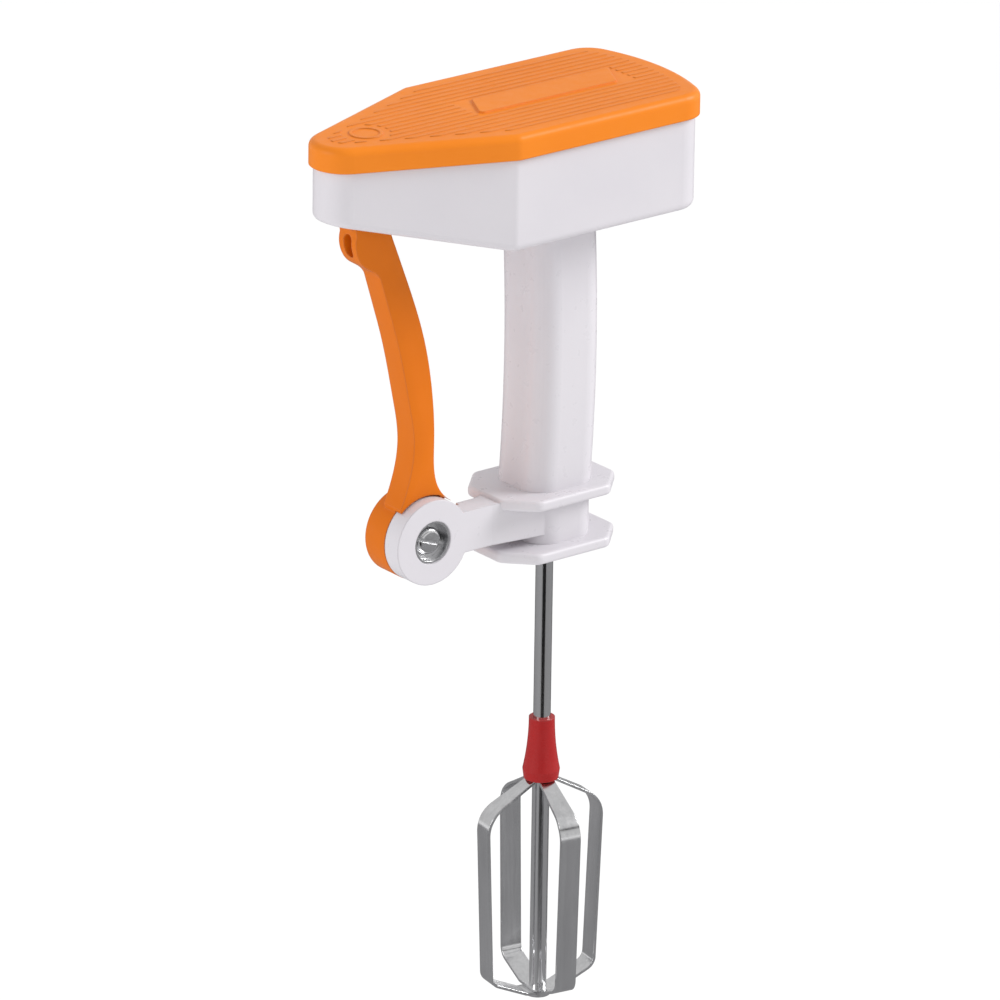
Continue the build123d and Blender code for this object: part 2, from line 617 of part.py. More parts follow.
# ---- axles, retainers and gears ----
with BuildPart() as first_gear_axle:
    with BuildSketch(Plane.XY.offset(BASE_Z)):
        with Locations((GEAR_1_X, 0)):
            Circle(AXLE_SHOULDER)
    extrude(amount=LAYER_B[0] - 0.2 - BASE_Z)
    with BuildSketch(Plane.XY.offset(BASE_Z)):
        with Locations((GEAR_1_X, 0)):
            Circle(AXLE_RADIUS)
    extrude(amount=AXLE_TOP_Z - BASE_Z)
first_gear_axle.part.label = "first_gear_axle"
export_step(first_gear_axle.part, "parts/first_gear_axle.step")

with BuildPart() as second_gear_axle:
    with BuildSketch(Plane.XY.offset(BASE_Z)):
        with Locations((GEAR_2_X, 0)):
            Circle(AXLE_SHOULDER)
    extrude(amount=AXLE_SHOULDER_HEIGHT)
    with BuildSketch(Plane.XY.offset(BASE_Z)):
        with Locations((GEAR_2_X, 0)):
            Circle(AXLE_RADIUS)
    extrude(amount=AXLE_TOP_Z - BASE_Z)
second_gear_axle.part.label = "second_gear_axle"
export_step(second_gear_axle.part, "parts/second_gear_axle.step")

with BuildPart() as gear_retainers:
    with BuildSketch(Plane.XY.offset(LAYER_C[1] + 0.4)):
        with Locations((GEAR_1_X, 0)):
            Circle(RETAINER_RADIUS)
            Circle(AXLE_RADIUS, mode=Mode.SUBTRACT)
    extrude(amount=RETAINER_THICKNESS)
    with BuildSketch(Plane.XY.offset(LAYER_B[1] + 0.4)):
        with Locations((GEAR_2_X, 0)):
            Circle(RETAINER_RADIUS)
            Circle(AXLE_RADIUS, mode=Mode.SUBTRACT)
    extrude(amount=RETAINER_THICKNESS)
gear_retainers.part.label = "gear_retainers"
export_step(gear_retainers.part, "parts/gear_retainers.step")


def compound_gear(x, wheel, pinion, bottom_z, top_z):
    """Wheel and pinion moulded together on one axle; each is (z, thickness, teeth, module, phase)."""
    with BuildPart() as gear:
        for z, thickness, teeth, module, phase in (wheel, pinion):
            profile = gear_profile(z, teeth, module, phase, AXLE_RADIUS + RUNNING_GAP)
            extrude(profile.moved(Location((x, 0, 0))), amount=thickness)
        with BuildSketch(Plane.XY.offset(bottom_z)):
            with Locations((x, 0)):
                Circle(HUB_RADIUS)
                Circle(AXLE_RADIUS + RUNNING_GAP, mode=Mode.SUBTRACT)
        extrude(amount=top_z - bottom_z)
    return gear.part


HALF_PINION_2 = 180 + 180 / PINION_2_TEETH
first_wheel = (LAYER_B[0], LAYER_B[1] - LAYER_B[0], WHEEL_1_TEETH, MODULE_B, 0)
first_pinion = (LAYER_B[1] - 0.1, LAYER_C[1] - LAYER_B[1] + 0.1, PINION_1_TEETH, MODULE_C, -90)
first_gear = compound_gear(GEAR_1_X, first_wheel, first_pinion, LAYER_B[0], LAYER_C[1] + 0.2)
first_gear.label = "first_gear"
export_step(first_gear, "parts/first_gear.step")

second_wheel = (LAYER_A[0], LAYER_A[1] - LAYER_A[0], WHEEL_2_TEETH, MODULE_A, 180)
second_pinion = (LAYER_A[1] - 0.1, LAYER_B[1] - LAYER_A[1] + 0.1, PINION_2_TEETH, MODULE_B, HALF_PINION_2)
second_gear = compound_gear(GEAR_2_X, second_wheel, second_pinion, LAYER_A[0] - 0.1, LAYER_B[1] + 0.2)
second_gear.label = "second_gear"
export_step(second_gear, "parts/second_gear.step")

# ---- rack ----
TOOTH_PITCH = pi * MODULE_C
RACK_RIGHT_X = GEAR_1_X + RACK_END
FIRST_TOOTH = int(-(STROKE + RACK_END) / TOOTH_PITCH)
LAST_TOOTH = int(RACK_END / TOOTH_PITCH) - 1
BRIDGE_X = PIN_X + BRIDGE_GAP

with BuildPart() as drive_rack:
    with BuildSketch(Plane.XY.offset(LAYER_C[0])):
        with BuildLine():
            Polyline(
                (RACK_RIGHT_X, RACK_ROOT_Y),
                (RACK_RIGHT_X, RACK_BACK_Y),
                (RACK_BEND_X, RACK_BACK_Y),
                (BRIDGE_X, -CHEEK_OUTER),
                (BRIDGE_X, CHEEK_OUTER),
                (BRIDGE_X + BRIDGE_THICKNESS, CHEEK_OUTER),
                (BRIDGE_X + BRIDGE_THICKNESS, -3.0),
                (RACK_BEND_X, RACK_ROOT_Y),
                close=True,
            )
        make_face()
        for index in range(FIRST_TOOTH, LAST_TOOTH + 1):
            middle = GEAR_1_X + (index + 0.5) * TOOTH_PITCH
            root_half = (TOOTH_PITCH / 2 - BACKLASH) / 2 + DEDENDUM * MODULE_C * tan(PRESSURE)
            tip_half = (TOOTH_PITCH / 2 - BACKLASH) / 2 - ADDENDUM * MODULE_C * tan(PRESSURE)
            with BuildLine():
                Polyline(
                    (middle - root_half, RACK_ROOT_Y - 0.2),
                    (middle - root_half, RACK_ROOT_Y),
                    (middle - tip_half, RACK_TIP_Y),
                    (middle + tip_half, RACK_TIP_Y),
                    (middle + root_half, RACK_ROOT_Y),
                    (middle + root_half, RACK_ROOT_Y - 0.2),
                    close=True,
                )
            make_face()
    extrude(amount=LAYER_C[1] - LAYER_C[0])
    # fork cheeks each side of the lever's tongue
    with BuildSketch(Plane.XY.offset(CHEEK_Z[0])):
        for side in (-1, 1):
            with Locations(((PIN_X - CHEEK_HALF + BRIDGE_X + 1) / 2, side * (CHEEK_INNER + CHEEK_OUTER) / 2)):
                Rectangle(BRIDGE_X + 1 - PIN_X + CHEEK_HALF, CHEEK_OUTER - CHEEK_INNER)
    extrude(amount=CHEEK_Z[1] - CHEEK_Z[0])
    # upright slot for the link pin
    with BuildSketch(Plane.XZ):
        with Locations((PIN_X, (SLOT_Z[0] + SLOT_Z[1]) / 2)):
            SlotOverall(SLOT_Z[1] - SLOT_Z[0], 2 * SLOT_HALF, rotation=90)
    extrude(amount=20, both=True, mode=Mode.SUBTRACT)
drive_rack.part.label = "drive_rack"
export_step(drive_rack.part, "parts/drive_rack.step")

# ---- lever ----
with BuildPart() as squeeze_lever:
    # blade, from the barrel up to the boss under the head
    with BuildSketch(Plane.XZ):
        with BuildLine():
            Spline(*LEVER_INNER)
            Polyline(LEVER_INNER[-1], (-66.5, 54.0), (-78.2, 54.0), LEVER_BOSS[0])
            Spline(*LEVER_BOSS)
            Spline(*LEVER_OUTER)
            Polyline(LEVER_OUTER[-1], (-58.0, -48.0), (-42.0, -48.0), LEVER_INNER[0])
        make_face()
    extrude(amount=LEVER_WIDTH / 2, both=True)
    # tongue up to the link pin
    with BuildSketch(Plane.XZ):
        with BuildLine():
            Polyline(
                (-66.5, 53.0),
                (-71.9, 58.5),
                (PIN_X + EYE_RADIUS, PIN_Z),
                (PIN_X - EYE_RADIUS, PIN_Z),
                (-78.2, 53.0),
                close=True,
            )
        make_face()
        with Locations((PIN_X, PIN_Z)):
            Circle(EYE_RADIUS)
    extrude(amount=TONGUE_WIDTH / 2, both=True)
    # clearance round the ear
    with BuildSketch(Plane.XZ.offset(-BARREL_FRONT_Y)):
        with Locations((PIVOT_X, PIVOT_Z)):
            Circle(EAR_RADIUS + 0.6)
    extrude(amount=10, mode=Mode.SUBTRACT)
    # barrel
    with BuildSketch(Plane.XZ.offset(-BARREL_FRONT_Y)):
        with Locations((PIVOT_X, PIVOT_Z)):
            Circle(BARREL_RADIUS)
    extrude(amount=BARREL_FRONT_Y - BARREL_BACK_Y)
    # spring cavity and bore
    with BuildSketch(Plane.XZ.offset(-BARREL_FRONT_Y)):
        with Locations((PIVOT_X, PIVOT_Z)):
            Circle(SPRING_CAVITY)
    extrude(amount=BARREL_FRONT_Y - SPRING_CAVITY_BACK_Y, mode=Mode.SUBTRACT)
    with BuildSketch(Plane.XZ):
        with Locations((PIVOT_X, PIVOT_Z)):
            Circle(SLEEVE_RADIUS + RUNNING_GAP)
        with Locations((PIN_X, PIN_Z)):
            Circle(PIN_RADIUS)
    extrude(amount=30, both=True, mode=Mode.SUBTRACT)
    # cored pocket in the boss's outer face
    with BuildSketch(Plane.YZ.offset(PIN_X - 5)):
        with Locations((0, POCKET_Z)):
            SlotOverall(POCKET_HEIGHT, POCKET_WIDTH, rotation=90)
    extrude(amount=POCKET_REACH, mode=Mode.SUBTRACT)
squeeze_lever.part.label = "squeeze_lever"
export_step(squeeze_lever.part, "parts/squeeze_lever.step")

with BuildPart() as link_pin:
    with BuildSketch(Plane.XZ):
        with Locations((PIN_X, PIN_Z)):
            Circle(PIN_RADIUS)
    extrude(amount=PIN_LENGTH / 2, both=True)
link_pin.part.label = "link_pin"
export_step(link_pin.part, "parts/link_pin.step")

# ---- pivot hardware ----
RECESS_FLOOR_Y = EAR_FRONT_Y + RECESS_DEPTH
PIVOT_PLANE = Plane(origin=(PIVOT_X, 0, PIVOT_Z), x_dir=(1, 0, 0), z_dir=(0, 1, 0))

with BuildPart() as pivot_cup_washer:
    with BuildSketch(PIVOT_PLANE.offset(EAR_FRONT_Y + CUP_SINK)):
        Circle(RECESS_RADIUS - RUNNING_GAP)
        Circle(SCREW_RADIUS + SCREW_FIT, mode=Mode.SUBTRACT)
    extrude(amount=RECESS_DEPTH - CUP_SINK)
    with BuildSketch(PIVOT_PLANE.offset(EAR_FRONT_Y + CUP_SINK)):
        Circle(RECESS_RADIUS - WASHER_THICKNESS)
    extrude(amount=RECESS_DEPTH - CUP_SINK - WASHER_THICKNESS, mode=Mode.SUBTRACT)
pivot_cup_washer.part.label = "pivot_cup_washer"
export_step(pivot_cup_washer.part, "parts/pivot_cup_washer.step")

SCREW_SEAT_Y = RECESS_FLOOR_Y - WASHER_THICKNESS
with BuildPart() as pivot_screw:
    with BuildSketch(PIVOT_PLANE.offset(SCREW_SEAT_Y)):
        Circle(PIVOT_HEAD_RADIUS)
    extrude(amount=-PIVOT_HEAD_HEIGHT)
    fillet(pivot_screw.edges().group_by(Axis.Y)[0], radius=PIVOT_HEAD_EDGE)
    with BuildSketch(PIVOT_PLANE.offset(SCREW_SEAT_Y)):
        Circle(SCREW_RADIUS)
    extrude(amount=SLEEVE_BACK_Y + WASHER_THICKNESS + NUT_THICKNESS - SCREW_SEAT_Y)
    with BuildSketch(PIVOT_PLANE.offset(SCREW_SEAT_Y - PIVOT_HEAD_HEIGHT)):
        Rectangle(2 * PIVOT_HEAD_RADIUS, PIVOT_SLOT, rotation=PIVOT_SLOT_TURN)
    extrude(amount=PIVOT_SLOT, mode=Mode.SUBTRACT)
pivot_screw.part.label = "pivot_screw"
export_step(pivot_screw.part, "parts/pivot_screw.step")

with BuildPart() as pivot_sleeve:
    with BuildSketch(PIVOT_PLANE.offset(EAR_BACK_Y)):
        Circle(SLEEVE_RADIUS)
        Circle(SCREW_RADIUS, mode=Mode.SUBTRACT)
    extrude(amount=SLEEVE_BACK_Y - EAR_BACK_Y)
pivot_sleeve.part.label = "pivot_sleeve"
export_step(pivot_sleeve.part, "parts/pivot_sleeve.step")

with BuildPart() as pivot_back_washer:
    with BuildSketch(PIVOT_PLANE.offset(SLEEVE_BACK_Y)):
        Circle(BACK_WASHER_RADIUS)
        Circle(SCREW_RADIUS, mode=Mode.SUBTRACT)
    extrude(amount=WASHER_THICKNESS)
pivot_back_washer.part.label = "pivot_back_washer"
export_step(pivot_back_washer.part, "parts/pivot_back_washer.step")

with BuildPart() as pivot_nut:
    with BuildSketch(PIVOT_PLANE.offset(SLEEVE_BACK_Y + WASHER_THICKNESS)):
        RegularPolygon(NUT_RADIUS, 6)
        Circle(SCREW_RADIUS, mode=Mode.SUBTRACT)
    extrude(amount=NUT_THICKNESS)
pivot_nut.part.label = "pivot_nut"
export_step(pivot_nut.part, "parts/pivot_nut.step")

with BuildPart() as return_spring:
    with BuildLine():
        coil = Helix(
            pitch=SPRING_PITCH,
            height=SPRING_PITCH * SPRING_TURNS,
            radius=SPRING_RADIUS,
            center=(PIVOT_X, -0.1, PIVOT_Z),
            direction=(0, 1, 0),
        )
    with BuildSketch(Plane(origin=coil @ 0, z_dir=coil % 0)):
        Circle(SPRING_WIRE)
    sweep(is_frenet=True)
return_spring.part.label = "return_spring"
export_step(return_spring.part, "parts/return_spring.step")

# ---- spindle and whisk ----
with BuildPart() as spindle:
    with BuildSketch(Plane.XY.offset(SPINDLE_BOTTOM_Z)):
        Circle(SPINDLE_RADIUS)
    extrude(amount=SPINDLE_TOP_Z - SPINDLE_BOTTOM_Z)
    chamfer(spindle.edges().group_by(Axis.Z)[-1], length=0.4)
spindle.part.label = "spindle"
export_step(spindle.part, "parts/spindle.step")

with BuildPart() as spindle_pinion:
    pinion_profile = gear_profile(LAYER_A[0], SPINDLE_TEETH, MODULE_A, 180 / SPINDLE_TEETH, SPINDLE_RADIUS)
    extrude(pinion_profile, amount=LAYER_A[1] - LAYER_A[0])
spindle_pinion.part.label = "spindle_pinion"
export_step(spindle_pinion.part, "parts/spindle_pinion.step")

with BuildPart() as thrust_washer:
    with BuildSketch(Plane.XY.offset(BASE_Z + FLOOR + 0.9)):
        Circle(THRUST_RADIUS)
        Circle(SPINDLE_RADIUS, mode=Mode.SUBTRACT)
    extrude(amount=THRUST_THICKNESS)
thrust_washer.part.label = "thrust_washer"
export_step(thrust_washer.part, "parts/thrust_washer.step")

with BuildPart() as spindle_clip:
    with BuildSketch(Plane.XY.offset(GRIP_BORE_Z[0] + 0.3)):
        Circle(CLIP_RADIUS)
        Circle(SPINDLE_RADIUS, mode=Mode.SUBTRACT)
        with Locations((CLIP_RADIUS - 1.2, 0)):
            Rectangle(CLIP_RADIUS, CLIP_MOUTH, mode=Mode.SUBTRACT)
    extrude(amount=CLIP_THICKNESS)
spindle_clip.part.label = "spindle_clip"
export_step(spindle_clip.part, "parts/spindle_clip.step")

COLLAR_MID_Z = (COLLAR_TOP_Z + COLLAR_BOTTOM_Z) / 2
with BuildPart() as whisk_collar:
    with BuildSketch(Plane.XZ):
        with BuildLine():
            Line((0, COLLAR_TOP_Z), (COLLAR_RADII[0], COLLAR_TOP_Z))
            ThreePointArc(
                (COLLAR_RADII[0], COLLAR_TOP_Z),
                (COLLAR_RADII[1], COLLAR_MID_Z),
                (COLLAR_RADII[2], COLLAR_BOTTOM_Z + COLLAR_FOOT),
            )
            Polyline(
                (COLLAR_RADII[2], COLLAR_BOTTOM_Z + COLLAR_FOOT),
                (COLLAR_RADII[2] - COLLAR_TUCK, COLLAR_BOTTOM_Z),
                (0, COLLAR_BOTTOM_Z),
                (0, COLLAR_TOP_Z),
            )
        make_face()
    revolve(axis=Axis.Z)
    with BuildSketch(Plane.XY.offset(COLLAR_BOTTOM_Z)):
        Circle(SPINDLE_RADIUS)
    extrude(amount=COLLAR_TOP_Z - COLLAR_BOTTOM_Z, mode=Mode.SUBTRACT)
    with BuildSketch(Plane.XY.offset(COLLAR_BOTTOM_Z)):
        Circle(COLLAR_SEAT_RADIUS)
    extrude(amount=STRIP_TOP_Z + COLLAR_SEAT_GAP - COLLAR_BOTTOM_Z, mode=Mode.SUBTRACT)
whisk_collar.part.label = "whisk_collar"
export_step(whisk_collar.part, "parts/whisk_collar.step")


def whisk_loop(turn, inset):
    """One bent strip: down from the collar, out, down, under the spindle and up the far side."""
    hug = SPINDLE_RADIUS + 0.05
    half = [
        (hug, STRIP_TOP_Z),
        (hug, COLLAR_BOTTOM_Z - 0.6),
        (UPPER_BEND[0] - inset, UPPER_BEND[1]),
        (LOWER_BEND[0] - inset, LOWER_BEND[1]),
        (LOOP_FOOT_X, LOOP_BOTTOM_Z + inset),
    ]
    bends = [NECK_BEND, UPPER_BEND_RADIUS, LOWER_BEND_RADIUS, NECK_BEND]
    points = half + [(-x, z) for x, z in reversed(half)]
    with BuildPart() as loop:
        with BuildSketch(Plane.XZ):
            with BuildLine():
                FilletPolyline(*points, radius=bends + bends[::-1])
                offset(amount=STRIP_THICKNESS, side=Side.LEFT)
            make_face()
        extrude(amount=STRIP_WIDTH / 2, both=True)
        # narrowed towards the collar so that the four ends sit side by side
        with BuildSketch(Plane.YZ):
            for side in (-1, 1):
                with BuildLine():
                    Polyline(
                        (side * STRIP_NECK_WIDTH / 2, STRIP_TOP_Z + 5),
                        (side * STRIP_NECK_WIDTH / 2, COLLAR_BOTTOM_Z),
                        (side * STRIP_WIDTH / 2, UPPER_BEND[1]),
                        (side * (STRIP_WIDTH / 2 + 5), UPPER_BEND[1]),
                        (side * (STRIP_WIDTH / 2 + 5), STRIP_TOP_Z + 5),
                        close=True,
                    )
                make_face()
        extrude(amount=UPPER_BEND[0] + 5, both=True, mode=Mode.SUBTRACT)
        with BuildSketch(Plane.XY.offset(LOOP_BOTTOM_Z - 3)):
            Circle(SPINDLE_RADIUS)
        extrude(amount=8, mode=Mode.SUBTRACT)
    return loop.part.rotate(Axis.Z, turn)


whisk_loop_outer = whisk_loop(WHISK_TURN, 0)
whisk_loop_outer.label = "whisk_loop_outer"
export_step(whisk_loop_outer, "parts/whisk_loop_outer.step")

whisk_loop_inner = whisk_loop(WHISK_TURN + 90, STRIP_THICKNESS + 0.05)
whisk_loop_inner.label = "whisk_loop_inner"
export_step(whisk_loop_inner, "parts/whisk_loop_inner.step")

with BuildPart() as whisk_end_nut:
    with BuildSketch(Plane.XY.offset(SPINDLE_BOTTOM_Z)):
        Circle(RIVET_RADIUS)
        Circle(SPINDLE_RADIUS, mode=Mode.SUBTRACT)
    extrude(amount=RIVET_HEIGHT)
whisk_end_nut.part.label = "whisk_end_nut"
export_step(whisk_end_nut.part, "parts/whisk_end_nut.step")
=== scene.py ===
import json
import math

import bmesh
import bpy
from mathutils import Matrix, Vector

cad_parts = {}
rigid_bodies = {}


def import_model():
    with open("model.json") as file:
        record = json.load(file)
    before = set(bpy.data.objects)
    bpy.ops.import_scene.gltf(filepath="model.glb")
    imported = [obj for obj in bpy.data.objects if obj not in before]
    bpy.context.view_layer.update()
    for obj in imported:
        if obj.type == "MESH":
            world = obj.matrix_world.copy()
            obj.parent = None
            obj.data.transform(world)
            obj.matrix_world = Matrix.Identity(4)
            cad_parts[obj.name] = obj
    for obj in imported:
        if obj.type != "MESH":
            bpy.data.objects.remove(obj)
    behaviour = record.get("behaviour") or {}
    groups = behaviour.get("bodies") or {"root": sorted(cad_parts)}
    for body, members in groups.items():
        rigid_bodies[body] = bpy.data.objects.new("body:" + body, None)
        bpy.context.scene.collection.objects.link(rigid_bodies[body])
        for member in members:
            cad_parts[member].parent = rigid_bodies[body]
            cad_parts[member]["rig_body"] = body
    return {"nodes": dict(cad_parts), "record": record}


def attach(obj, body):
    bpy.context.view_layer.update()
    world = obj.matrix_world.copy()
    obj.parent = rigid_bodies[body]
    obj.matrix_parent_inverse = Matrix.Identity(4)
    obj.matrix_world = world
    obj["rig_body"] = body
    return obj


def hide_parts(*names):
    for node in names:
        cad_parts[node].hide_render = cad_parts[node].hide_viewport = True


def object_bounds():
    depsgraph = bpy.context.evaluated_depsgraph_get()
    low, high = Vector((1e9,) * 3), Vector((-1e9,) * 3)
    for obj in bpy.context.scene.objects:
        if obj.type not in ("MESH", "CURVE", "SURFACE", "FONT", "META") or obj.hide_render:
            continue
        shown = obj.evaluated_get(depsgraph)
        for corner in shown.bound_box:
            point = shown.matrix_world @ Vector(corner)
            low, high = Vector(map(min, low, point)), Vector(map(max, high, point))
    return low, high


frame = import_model()
cad_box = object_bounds()
nodes = frame["nodes"]

# ---- camera: where the eye stands, in the row frame (metres, degrees) ----
AZIMUTH = -38.35
ELEVATION = 20.79
ROLL = 0.83
DISTANCE = 3.029
SENSOR = 0.036
FRAME_HEIGHT = 0.3102  # height of the view at the target's distance
CLIP_END = 50
TARGET_RIGHT = -0.01409
TARGET_Z = -0.0520

# ---- colours, linear ----
WHITE = (0.69, 0.665, 0.70)
WHITE_SHADE = (0.655, 0.63, 0.67)
ORANGE = (0.86, 0.240, 0.014)
ORANGE_SHADE = (0.80, 0.210, 0.010)
LEVER_ORANGE = (0.72, 0.170, 0.006)
LEVER_SHADE = (0.65, 0.145, 0.004)
RED = (0.40, 0.020, 0.020)
RED_SHADE = (0.31, 0.012, 0.014)
NYLON = (0.80, 0.78, 0.71)
STEEL = (0.62, 0.62, 0.63)
BRIGHT_STEEL = (0.80, 0.80, 0.81)
DARK_STEEL = (0.30, 0.30, 0.31)


def new_material(name):
    """An empty node material with its principled shader."""
    material = bpy.data.materials.new(name)
    material.use_nodes = True
    tree = material.node_tree
    tree.nodes.clear()
    output = tree.nodes.new("ShaderNodeOutputMaterial")
    shader = tree.nodes.new("ShaderNodeBsdfPrincipled")
    tree.links.new(shader.outputs["BSDF"], output.inputs["Surface"])
    return material, tree, shader


def stretched_coords(tree, stretch):
    """Object coordinates scaled per axis, so that a texture can run in streaks."""
    coords = tree.nodes.new("ShaderNodeTexCoord")
    mapping = tree.nodes.new("ShaderNodeMapping")
    mapping.inputs["Scale"].default_value = stretch
    tree.links.new(coords.outputs["Object"], mapping.inputs["Vector"])
    return mapping.outputs["Vector"]


def noise(tree, vector, scale, detail=3.0, roughness=0.5):
    node = tree.nodes.new("ShaderNodeTexNoise")
    node.inputs["Scale"].default_value = scale
    node.inputs["Detail"].default_value = detail
    node.inputs["Roughness"].default_value = roughness
    tree.links.new(vector, node.inputs["Vector"])
    return node.outputs["Fac"]


def ramp(tree, value, low, high, start=0.3, end=0.7):
    """Maps a value to a colour between low and high."""
    node = tree.nodes.new("ShaderNodeValToRGB")
    node.color_ramp.elements[0].position = start
    node.color_ramp.elements[0].color = (*low, 1)
    node.color_ramp.elements[1].position = end
    node.color_ramp.elements[1].color = (*high, 1)
    tree.links.new(value, node.inputs["Fac"])
    return node.outputs["Color"]


def spread(tree, value, low, high):
    """Maps a 0.3 to 0.7 value to a number between low and high."""
    node = tree.nodes.new("ShaderNodeMapRange")
    node.inputs["From Min"].default_value = 0.3
    node.inputs["From Max"].default_value = 0.7
    node.inputs["To Min"].default_value = low
    node.inputs["To Max"].default_value = high
    tree.links.new(value, node.inputs["Value"])
    return node.outputs["Result"]


def mix_colours(tree, factor, first, second, blend="MIX"):
    node = tree.nodes.new("ShaderNodeMix")
    node.data_type = "RGBA"
    node.blend_type = blend
    if isinstance(factor, (int, float)):
        node.inputs["Factor"].default_value = factor
    else:
        tree.links.new(factor, node.inputs["Factor"])
    for socket, colour in (("A", first), ("B", second)):
        inputs = [i for i in node.inputs if i.name == socket and i.type == "RGBA"]
        if isinstance(colour, tuple):
            inputs[0].default_value = (*colour, 1)
        else:
            tree.links.new(colour, inputs[0])
    return [o for o in node.outputs if o.type == "RGBA"][0]


def bump(tree, shader, heights, edge_radius=0.0):
    """Stacks bumps given as (height socket, strength, distance) on an eased edge."""
    normal = None
    if edge_radius:
        eased = tree.nodes.new("ShaderNodeBevel")
        eased.samples = 4
        eased.inputs["Radius"].default_value = edge_radius
        normal = eased.outputs["Normal"]
    for height, strength, distance in heights:
        node = tree.nodes.new("ShaderNodeBump")
        node.inputs["Strength"].default_value = strength
        node.inputs["Distance"].default_value = distance
        tree.links.new(height, node.inputs["Height"])
        if normal is not None:
            tree.links.new(normal, node.inputs["Normal"])
        normal = node.outputs["Normal"]
    tree.links.new(normal, shader.inputs["Normal"])


def edge_wear_and_highlight(tree, radius, gain):
    """1 along convex and concave edges, fading to 0 on the flats: the mask for edge wear and a painted edge
    highlight.
    """
    eased = tree.nodes.new("ShaderNodeBevel")
    eased.samples = 4
    eased.inputs["Radius"].default_value = radius
    geometry = tree.nodes.new("ShaderNodeNewGeometry")
    dot = tree.nodes.new("ShaderNodeVectorMath")
    dot.operation = "DOT_PRODUCT"
    tree.links.new(eased.outputs["Normal"], dot.inputs[0])
    tree.links.new(geometry.outputs["Normal"], dot.inputs[1])
    node = tree.nodes.new("ShaderNodeMapRange")
    node.inputs["From Min"].default_value = 1.0
    node.inputs["From Max"].default_value = 0.85
    node.inputs["To Max"].default_value = gain
    tree.links.new(dot.outputs["Value"], node.inputs["Value"])
    return node.outputs["Result"]


def moulded_plastic(name, colour, shade, roughness, grain=0.05, edge=0.0006, gloss=0.45):
    """Injection-moulded plastic: faint flow marks, fine grain, edges a little paler, partly as handling
    wear and partly as a painted highlight.
    """
    material, tree, shader = new_material(name)
    even = stretched_coords(tree, (1, 1, 1))
    clouds = noise(tree, even, 22, 4)
    flow = noise(tree, stretched_coords(tree, (1, 1, 0.25)), 90, 3)
    body = ramp(tree, clouds, shade, colour, 0.25, 0.6)
    marked = mix_colours(tree, 0.10, body, ramp(tree, flow, shade, colour))
    # paler edges: partly handling wear, partly a painted highlight where the edges catch the light
    lighter = tuple(min(1.0, c * 0.8 + 0.2) for c in colour)
    worn_and_highlit = mix_colours(tree, edge_wear_and_highlight(tree, edge, 0.22), marked, lighter)
    tree.links.new(worn_and_highlit, shader.inputs["Base Color"])
    scuffs = noise(tree, even, 260, 5, 0.6)
    tree.links.new(spread(tree, scuffs, roughness - 0.05, roughness + 0.08), shader.inputs["Roughness"])
    shader.inputs["IOR"].default_value = 1.5
    shader.inputs["Specular IOR Level"].default_value = gloss
    fine = noise(tree, even, 2600, 2)
    waviness = noise(tree, even, 45, 2)
    bump(tree, shader, [(waviness, 0.10, 0.0012), (fine, grain, 0.00012)], edge)
    return material


def drawn_metal(name, colour, shade, roughness, stretch, scratch=0.12, edge=0.0003):
    """Bright metal with drawing or polishing lines along one direction."""
    material, tree, shader = new_material(name)
    shader.inputs["Metallic"].default_value = 1.0
    lines = noise(tree, stretched_coords(tree, stretch), 420, 4, 0.7)
    stains = noise(tree, stretched_coords(tree, (1, 1, 1)), 60, 4)
    body = mix_colours(tree, 0.35, ramp(tree, lines, shade, colour), ramp(tree, stains, shade, colour))
    tree.links.new(body, shader.inputs["Base Color"])
    tree.links.new(spread(tree, lines, roughness, roughness + 0.10), shader.inputs["Roughness"])
    bump(tree, shader, [(lines, scratch, 0.00008)], edge)
    return material


MATERIALS = {
    "white_case": moulded_plastic("white_case", WHITE, WHITE_SHADE, 0.34),
    "white_grip": moulded_plastic("white_grip", WHITE, WHITE_SHADE, 0.30),
    "orange_cover": moulded_plastic("orange_cover", ORANGE, ORANGE_SHADE, 0.36, 0.08, 0.0006, 0.2),
    "orange_lever": moulded_plastic("orange_lever", LEVER_ORANGE, LEVER_SHADE, 0.34, 0.06, 0.0006, 0.15),
    "red_collar": moulded_plastic("red_collar", RED, RED_SHADE, 0.26, 0.04, 0.0005, 0.2),
    "nylon_gear": moulded_plastic("nylon_gear", NYLON, (0.70, 0.68, 0.60), 0.42, 0.05, 0.0001),
    "nylon_rack": moulded_plastic("nylon_rack", NYLON, (0.68, 0.66, 0.58), 0.42, 0.05, 0.0001),
    "nylon_bush": moulded_plastic("nylon_bush", (0.74, 0.74, 0.72), (0.66, 0.66, 0.64), 0.38, 0.05, 0.0002),
    "steel_axle": drawn_metal("steel_axle", STEEL, (0.5, 0.5, 0.51), 0.22, (1, 1, 0.05)),
    "spring_steel": drawn_metal("spring_steel", DARK_STEEL, (0.2, 0.2, 0.21), 0.30, (1, 1, 1)),
    "plated_screws": drawn_metal("plated_screws", BRIGHT_STEEL, (0.62, 0.62, 0.63), 0.16, (1, 1, 1)),
    "chrome_spindle": drawn_metal(
        "chrome_spindle", BRIGHT_STEEL, (0.70, 0.70, 0.71), 0.08, (1, 1, 0.02), 0.05
    ),
    "polished_strip": drawn_metal(
        "polished_strip", BRIGHT_STEEL, (0.60, 0.60, 0.61), 0.13, (1, 1, 0.04), 0.10
    ),
}


def dress_nodes():
    """Gives each CAD node the material of its slot in the record."""
    for part in frame["record"]["subparts"]:
        mesh = nodes[part["node"]].data
        mesh.materials.clear()
        mesh.materials.append(MATERIALS[part["material_slot"]])


dress_nodes()


# ---- moulded pieces with the eased edges that the plain CAD solids lack ----
WELD_DISTANCE = 2e-6
FLAT_ANGLE = math.radians(0.6)
SHARP_ANGLE = math.radians(32)
LEVER_EDGE = 0.0013
LEVER_EDGE_SEGMENTS = 4


